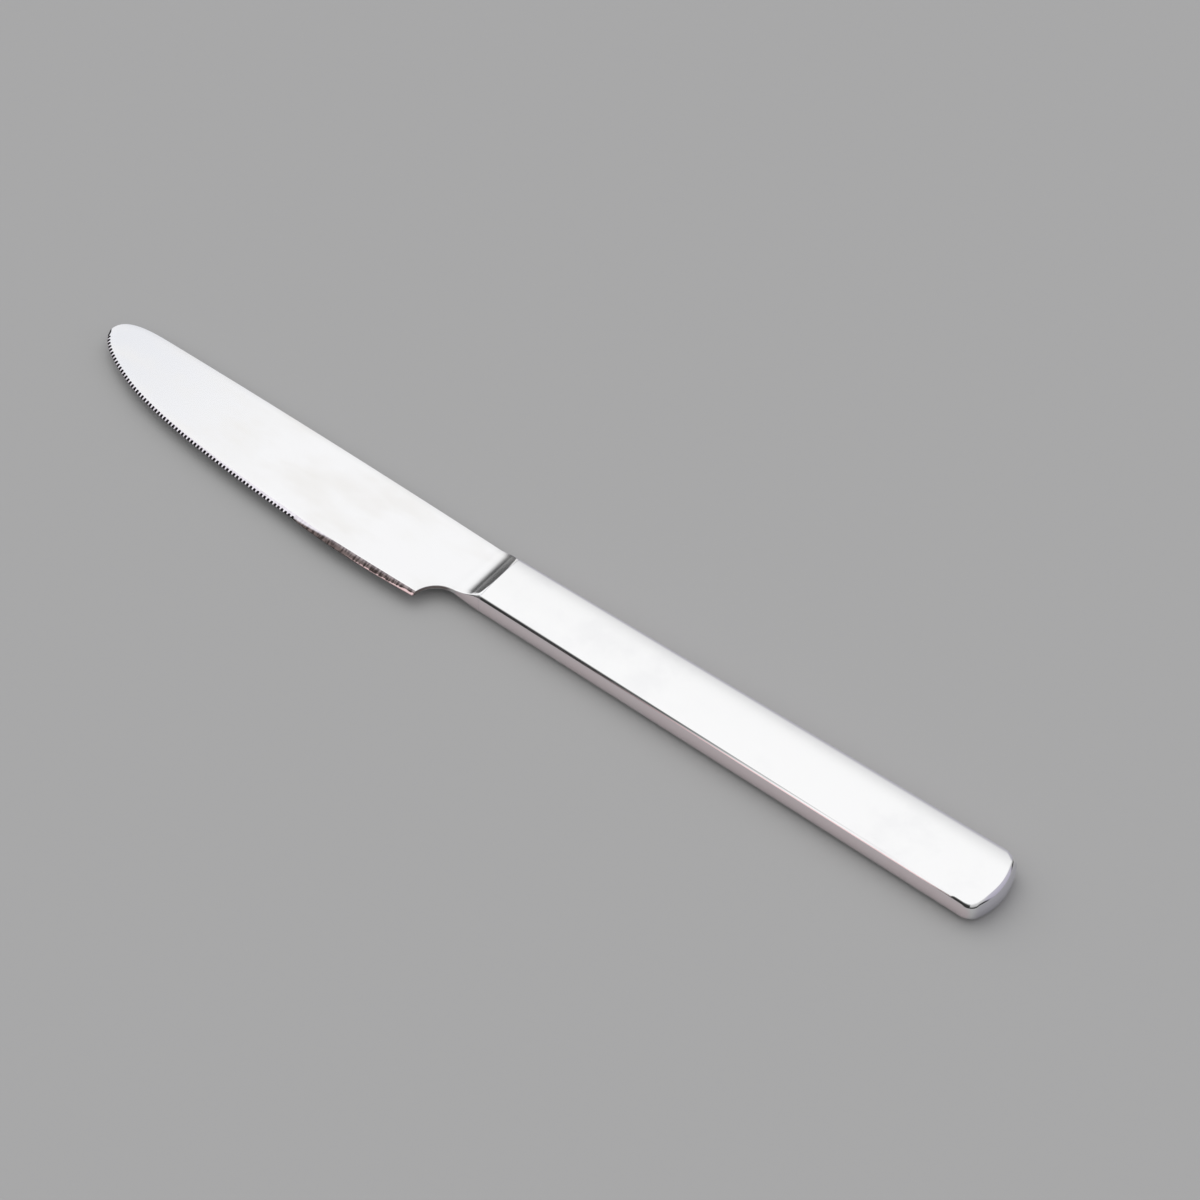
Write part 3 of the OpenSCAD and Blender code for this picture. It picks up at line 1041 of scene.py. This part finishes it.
def satin_blade():
    material, wire, mm = new_finish("satin_blade_steel")
    cloud = wire.noise(wire.stretched(mm, CLOUD_GRAIN), roughness=0.55).smooth(*CLOUDS)
    belt = wire.noise(wire.stretched(mm, BELT_GRAIN), roughness=0.6)
    wave = wire.noise(wire.stretched(mm, FACE_GRAIN), detail=1.0)
    # painted shade: the face's colour greys towards the tip
    tip_shade = wire.blend(wire.axis(mm, 0).smooth(TIP_SHADE_FROM, TIP_SHADE_TO), SHADED_TIP, BRIGHT_REAR)
    colour = wire.blend(cloud, tip_shade, CLOUDED)
    # painted reflection: rosy on the bolster's sides, fading out towards the heel, and lavender where a
    # surface faces the butt
    colour = painted_side_reflection(wire, colour, wire.axis(mm, 0).smooth(heel_x, neck_x))
    rough = BLADE_ROUGH + cloud * CLOUD_ROUGH + belt * BELT_ROUGH
    normal = bump(wire, belt, BELT_DEPTH, under=bump(wire, wave, SHEET_WAVE))
    finish(wire, colour, rough, Normal=normal)
    return material


# %% [markdown]
# ## Ground edge
# The edge bevel keeps the marks of the grinding wheel: scratches straight across it,
# uneven in depth. Beside the serrations it is polished again and pale. Along the plain
# heel it is left rougher, as ground, and coloured near black and brown as painted shade,
# paler towards the face, with one painted pink highlight along the edge itself. The cuts
# of the serrations and the bevel round the nose are coloured black as painted shade.

# %% Tones of the ground edge, with painted shade and a painted highlight
ACROSS_GRAIN = (7.0, 0.4, 0.4)
PASS_GRAIN = (0.5, 0.1, 0.1)
DEEP_GRAIN = (2.4, 0.5, 0.5)
MARKS_DEPTH = 0.012
PASS_SHARE, PASS_SHIFT, DEEP_MARKS = 0.3, 0.15, (0.42, 0.6)
PALE_TONES = (rgba(0.88, 0.85, 0.91), rgba(0.76, 0.72, 0.78))
# painted shade: near-black brown tones for the heel bevel, and paler ones towards the face
PAINTED_SHADE_TONES = (rgba(0.19, 0.15, 0.145), rgba(0.05, 0.038, 0.036))
PALER_SHADE_TONES = (rgba(0.42, 0.37, 0.38), rgba(0.2, 0.17, 0.18))
# painted highlight: a pink line along the heel's edge
PAINTED_PINK_HIGHLIGHT = rgba(0.86, 0.64, 0.65)
GROUND_SHADE_FROM, GROUND_SHADE_TO = -54.0, -49.0
GROUND_SHADE_SLANT = 40.0
PALER_FROM, PALER_TO = 0.26, 0.42
HIGHLIGHT_FROM, HIGHLIGHT_FULL = -35.0, -28.0
WIDER_FROM, WIDER_FULL = -23.0, -17.0
HIGHLIGHT_RISE, HIGHLIGHT_END = 0.15, 0.18
RAGGED, WIDER = 0.04, 0.1
EDGE_ROUGH, ACROSS_ROUGH, GROUND_ROUGH = 0.24, 0.14, 0.12


# %% Ground edge steel
def ground_edge():
    material, wire, mm = new_finish("ground_edge_steel")
    x = wire.axis(mm, 0)
    rise = wire.calc("ABSOLUTE", wire.axis(mm, 2) - HALF_T)
    across = wire.noise(wire.stretched(mm, ACROSS_GRAIN), detail=4.0, roughness=0.7)
    passes = wire.noise(wire.stretched(mm, PASS_GRAIN), detail=2.0)
    marks = wire.noise(wire.stretched(mm, DEEP_GRAIN), detail=1.0)
    deep = (marks + passes * PASS_SHARE - PASS_SHIFT).smooth(*DEEP_MARKS)
    # this mask makes the heel bevel rougher, and also marks where its colour is painted shade
    ground_and_shade = (x - (rise - LIP_T / 2) * GROUND_SHADE_SLANT).smooth(GROUND_SHADE_FROM, GROUND_SHADE_TO)
    reach = RAGGED * deep - WIDER * x.smooth(WIDER_FROM, WIDER_FULL)
    highlight = 1.0 - (rise + reach).smooth(HIGHLIGHT_RISE, HIGHLIGHT_END)
    # painted shade on the heel bevel, paler towards the face
    pale, shaded, paler_shade = (wire.blend(deep, *tones) for tones in (PALE_TONES, PAINTED_SHADE_TONES, PALER_SHADE_TONES))
    shaded = wire.blend(rise.smooth(PALER_FROM, PALER_TO), shaded, paler_shade)
    colour = wire.blend(ground_and_shade, pale, shaded)
    # painted highlight: a pink line along the lip of the edge, widening towards the heel
    colour = wire.blend(highlight * x.smooth(HIGHLIGHT_FROM, HIGHLIGHT_FULL), colour, PAINTED_PINK_HIGHLIGHT)
    rough = EDGE_ROUGH + across * ACROSS_ROUGH + ground_and_shade * GROUND_ROUGH
    normal = bump(wire, across, MARKS_DEPTH)
    finish(wire, colour, rough, Normal=normal)
    return material


# %% Painted shade in the cuts
CUT_GRAIN = (5.0, 5.0, 0.6)
CUT_SHADE_TONES = (rgba(0.008, 0.007, 0.008), rgba(0.03, 0.027, 0.03))
CUT_ROUGH = (0.4, 0.6)
WHEEL_DEPTH = 0.01


def cut_notch():
    material, wire, mm = new_finish("cut_notch_steel")
    marks = wire.noise(wire.stretched(mm, CUT_GRAIN))
    # painted shade: the cuts and the bevel round the nose are coloured near black
    colour = wire.blend(marks, *CUT_SHADE_TONES)
    rough = mix(*CUT_ROUGH, marks)
    normal = bump(wire, marks, WHEEL_DEPTH)
    finish(wire, colour, rough, Normal=normal)
    return material


# %% [markdown]
# ## Hollow behind the heel
# The hollow is cut with a round wheel and only deburred. Its narrow wall is dull, with marks
# that run through its thickness, and coloured darker than the polished faces as painted shade.

# %% Hollow steel, with painted shade
HOLLOW_GRAIN = (5.0, 5.0, 0.5)
HOLLOW_SHADE_TONES = (rgba(0.22, 0.18, 0.17), rgba(0.38, 0.33, 0.32))
NECK_POLISH = rgba(0.9, 0.89, 0.9)
POLISH_FROM, POLISH_TO = neck_x - 2.2, neck_x - 0.2
HOLLOW_ROUGH, NECK_SHARE = (0.25, 0.45), 0.5


def ground_hollow():
    material, wire, mm = new_finish("ground_hollow_steel")
    marks = wire.noise(wire.stretched(mm, HOLLOW_GRAIN))
    polished = wire.axis(mm, 0).smooth(POLISH_FROM, POLISH_TO)
    # painted shade: the hollow's wall is coloured dark brown, paler at its end by the neck
    colour = wire.blend(polished, wire.blend(marks, *HOLLOW_SHADE_TONES), NECK_POLISH)
    rough = mix(*HOLLOW_ROUGH, marks) * mix(1.0, NECK_SHARE, polished)
    normal = bump(wire, marks, WHEEL_DEPTH)
    finish(wire, colour, rough, Normal=normal)
    return material


# %% [markdown]
# ## Inside the handle
# The forged tang is dull and grey. The braze is a pale brass run with small ripples, and
# the cement is cast, with fine grains and pores. None of it shows in the photograph, but
# a cut or an exploded view of the knife does show it.

# %% Finishes inside
SCALE_TONES = (rgba(0.42, 0.41, 0.4), rgba(0.28, 0.27, 0.26))
BRAZE_TONES = (rgba(0.8, 0.7, 0.46), rgba(0.7, 0.62, 0.45))
CEMENT_TONES = (rgba(0.4, 0.38, 0.35), rgba(0.52, 0.5, 0.46))
RIPPLE_GRAIN = (0.9, 0.5, 0.5)
SCALE_DEPTH, RIPPLE_DEPTH, GRAIN_DEPTH = 0.06, 0.08, 0.1
SCALE_ROUGH, RIPPLE_ROUGH, CEMENT_ROUGH = (0.45, 0.65), (0.25, 0.45), (0.8, 0.92)
PORES, PORE_DEPTH = (0.62, 0.7), 0.8


def forged_tang():
    material, wire, mm = new_finish("forged_tang_steel")
    scale = wire.noise(mm, scale=0.8, detail=5.0, roughness=0.6)
    colour = wire.blend(scale, *SCALE_TONES)
    rough = mix(*SCALE_ROUGH, scale)
    normal = bump(wire, scale, SCALE_DEPTH)
    finish(wire, colour, rough, Normal=normal)
    return material


def run_braze():
    material, wire, mm = new_finish("run_braze")
    ripple = wire.noise(wire.stretched(mm, RIPPLE_GRAIN))
    colour = wire.blend(ripple, *BRAZE_TONES)
    rough = mix(*RIPPLE_ROUGH, ripple)
    normal = bump(wire, ripple, RIPPLE_DEPTH)
    finish(wire, colour, rough, Normal=normal)
    return material


def cast_cement():
    material, wire, mm = new_finish("cast_cement")
    grain = wire.noise(mm, scale=3.0, detail=6.0, roughness=0.65)
    pore = wire.noise(mm, scale=1.1, detail=2.0).smooth(*PORES)
    colour = wire.blend(grain, *CEMENT_TONES)
    normal = bump(wire, grain - pore * PORE_DEPTH, GRAIN_DEPTH)
    finish(wire, colour, mix(*CEMENT_ROUGH, grain), Metallic=0.0, Normal=normal)
    return material


# %% [markdown]
# ## Dress the pieces
# Each face already has the number of its finish, from the grid that it was made in. The
# materials go into the object's slots in that order. Braze and cement stay the meshes of
# the CAD model, and only their material is changed.

# %% Dress the pieces
def dress(made, *materials):
    """Gives an object its materials and keeps the index that each face already has."""
    indices = [face.material_index for face in made.data.polygons]
    made.data.materials.clear()
    for material in materials:
        made.data.materials.append(material)
    made.data.polygons.foreach_set("material_index", indices)


shell_steel = polished_shell()
dress(shell_upper, shell_steel)
dress(shell_lower, shell_steel)
dress(knife_blade, satin_blade(), ground_edge(), cut_notch(), ground_hollow())
dress(tang, forged_tang())
for name, material in (("seam_braze", run_braze()), ("tang_cement", cast_cement())):
    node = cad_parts[name]
    for place in node.material_slots:
        place.material = material
print("finishes:", sorted(m.name for m in bpy.data.materials if m.users))

# %% [markdown]
# ## Floor
# A plain pale floor, wide enough for the horizon to stay out of the picture. It is a
# stage piece: it isn't part of the knife.

# %% Floor
FLOOR_HALF = 12.0
FLOOR_TONE = 0.41
FLOOR_DIP = 0.99
TOOTH_SCALE = 0.5
FLOOR_ROUGH, FLOOR_GLOSS = 0.9, 0.1


def floor_paper():
    material, wire, mm = new_finish("floor_paper")
    tooth = wire.noise(mm, TOOTH_SCALE)
    colour = wire.blend(tooth, grey(FLOOR_TONE), grey(FLOOR_TONE * FLOOR_DIP))
    finish(wire, colour, FLOOR_ROUGH, Metallic=0.0, **{"Specular IOR Level": FLOOR_GLOSS})
    return material


floor_mesh = bmesh.new()
bmesh.ops.create_grid(floor_mesh, x_segments=8, y_segments=8, size=FLOOR_HALF)
floor_data = bpy.data.meshes.new("floor")
floor_mesh.to_mesh(floor_data)
floor_mesh.free()
floor = bpy.data.objects.new("floor", floor_data)
scene.collection.objects.link(floor)
dress(floor, floor_paper())
print("floor", 2 * FLOOR_HALF, "m across")

# %% [markdown]
# ## Light
# Polished steel shows what is round it, so the light is mostly a surrounding: a soft sky
# that fades to a dark horizon, with one bright screen that reaches lower on the side of
# the blade's tip. Flat faces mirror the sky, and steep ones the dark rim below it. On the
# near side the dark rim reaches higher, and draws the black line along the handle's near
# crease. A card there, pink below and white above, ends that line before the butt, and two
# low lavender cards tint the butt's end and the handle's far edge. A weak soft sun from
# the far side adds the shadow on the near side. It isn't seen in reflections.
# Places in the sky are given as azimuth, with 0 on the -Y side and 90 on the +X side, and
# elevation, both in degrees. Heights are the z part of a direction of length 1.

# %% World and sun
SKY_LIGHT = 1.0
HORIZON_LIGHT = 0.035
SCREEN_AT = (-0.9, 0.0, 0.45)
SCREEN_SIZE, SCREEN_FOOT = (45.5, 30.5), (0.12, 0.36)
LOW_SKY, HIGH_SKY, NEAR_SKY = (0.14, 0.36), (0.34, 0.82), (0.4, 0.75)
NEAR_FROM, NEAR_TO, NEAR_SOFT = -32.0, 30.0, 0.05
CARD_AT, CARD_SIZE = (-18, 5), (50.0, 40.0)
CARD_FROM, CARD_FROM_SOFT = -22.0, 0.04
CARD_TO, CARD_TO_SOFT = -15.6, 0.003
CARD_PINK, CARD_FADE = rgba(0.97, 0.72, 0.74), (0.1, 0.3)
BUTT_CARD_AT, BUTT_CARD_SIZE, BUTT_CARD = (121, 18), (32.0, 20.0), rgba(0.5, 0.48, 0.56)
FAR_CARD_AT, FAR_CARD_SIZE, FAR_CARD = (200, 5), (38.0, 20.0), rgba(0.42, 0.41, 0.46)
SUN_AT = (245, 62)
SUN_STRENGTH = 0.5
SUN_WIDTH = 50.0

world = bpy.data.worlds.new("studio")
scene.world = world
world.use_nodes = True
world.node_tree.nodes.clear()
sky = Wire(world.node_tree)
direction = sky.add("ShaderNodeTexCoord", out=0)


def towards(azimuth, elevation):
    """Unit vector to a place in the sky."""
    a, e = math.radians(azimuth), math.radians(elevation)
    return (math.sin(a) * math.cos(e), -math.cos(a) * math.cos(e), math.sin(e))


def facing(axis):
    """1 in the direction of the axis, 0 square to it."""
    settings = {"operation": "DOT_PRODUCT"}
    unit = tuple(Vector(axis).normalized())
    return sky.add("ShaderNodeVectorMath", settings, {0: direction, 1: unit}, out=1)


def patch(axis, outer, inner):
    """A round patch of sky: 0 beyond outer degrees from its axis, 1 within inner degrees."""
    return facing(axis).smooth(math.cos(math.radians(outer)), math.cos(math.radians(inner)))


def beyond(azimuth, soft):
    """0 before an azimuth and 1 past it, up to half a turn on."""
    return facing(towards(azimuth + 90, 0)).smooth(-soft, soft)


# %% Sky
height = sky.axis(direction, 2)
open_sky = 0.5 * height.smooth(*LOW_SKY) + 0.5 * height.smooth(*HIGH_SKY)
near_side = beyond(NEAR_FROM, NEAR_SOFT) * (1.0 - beyond(NEAR_TO, NEAR_SOFT))
sky_share = near_side * height.smooth(*NEAR_SKY) + (1.0 - near_side) * open_sky
glow = sky.blend(sky_share, grey(HORIZON_LIGHT), grey(SKY_LIGHT))

screen = patch(SCREEN_AT, *SCREEN_SIZE) * height.smooth(*SCREEN_FOOT)
glow = sky.blend(screen, glow, grey(SKY_LIGHT))

card = patch(towards(*CARD_AT), *CARD_SIZE)
card = card * beyond(CARD_FROM, CARD_FROM_SOFT) * (1.0 - beyond(CARD_TO, CARD_TO_SOFT))
card_colour = sky.blend(height.smooth(*CARD_FADE), CARD_PINK, grey(SKY_LIGHT))
glow = sky.blend(card, glow, card_colour)

glow = sky.blend(patch(towards(*BUTT_CARD_AT), *BUTT_CARD_SIZE), glow, BUTT_CARD)
glow = sky.blend(patch(towards(*FAR_CARD_AT), *FAR_CARD_SIZE), glow, FAR_CARD)
backdrop = sky.add("ShaderNodeBackground", {}, {"Color": glow, "Strength": 1.0})
sky.add("ShaderNodeOutputWorld", {}, {"Surface": backdrop})
print("sky of", len(world.node_tree.nodes), "nodes")

# %% Sun
sun_data = bpy.data.lights.new("soft_sun", "SUN")
sun_data.energy = SUN_STRENGTH
sun_data.angle = math.radians(SUN_WIDTH)
sun = bpy.data.objects.new("soft_sun", sun_data)
sun.rotation_euler = (-Vector(towards(*SUN_AT))).to_track_quat("-Z", "Y").to_euler()
sun.visible_glossy = False
scene.collection.objects.link(sun)
print("sun", sun_data.energy, "W/m2, sky", SKY_LIGHT)
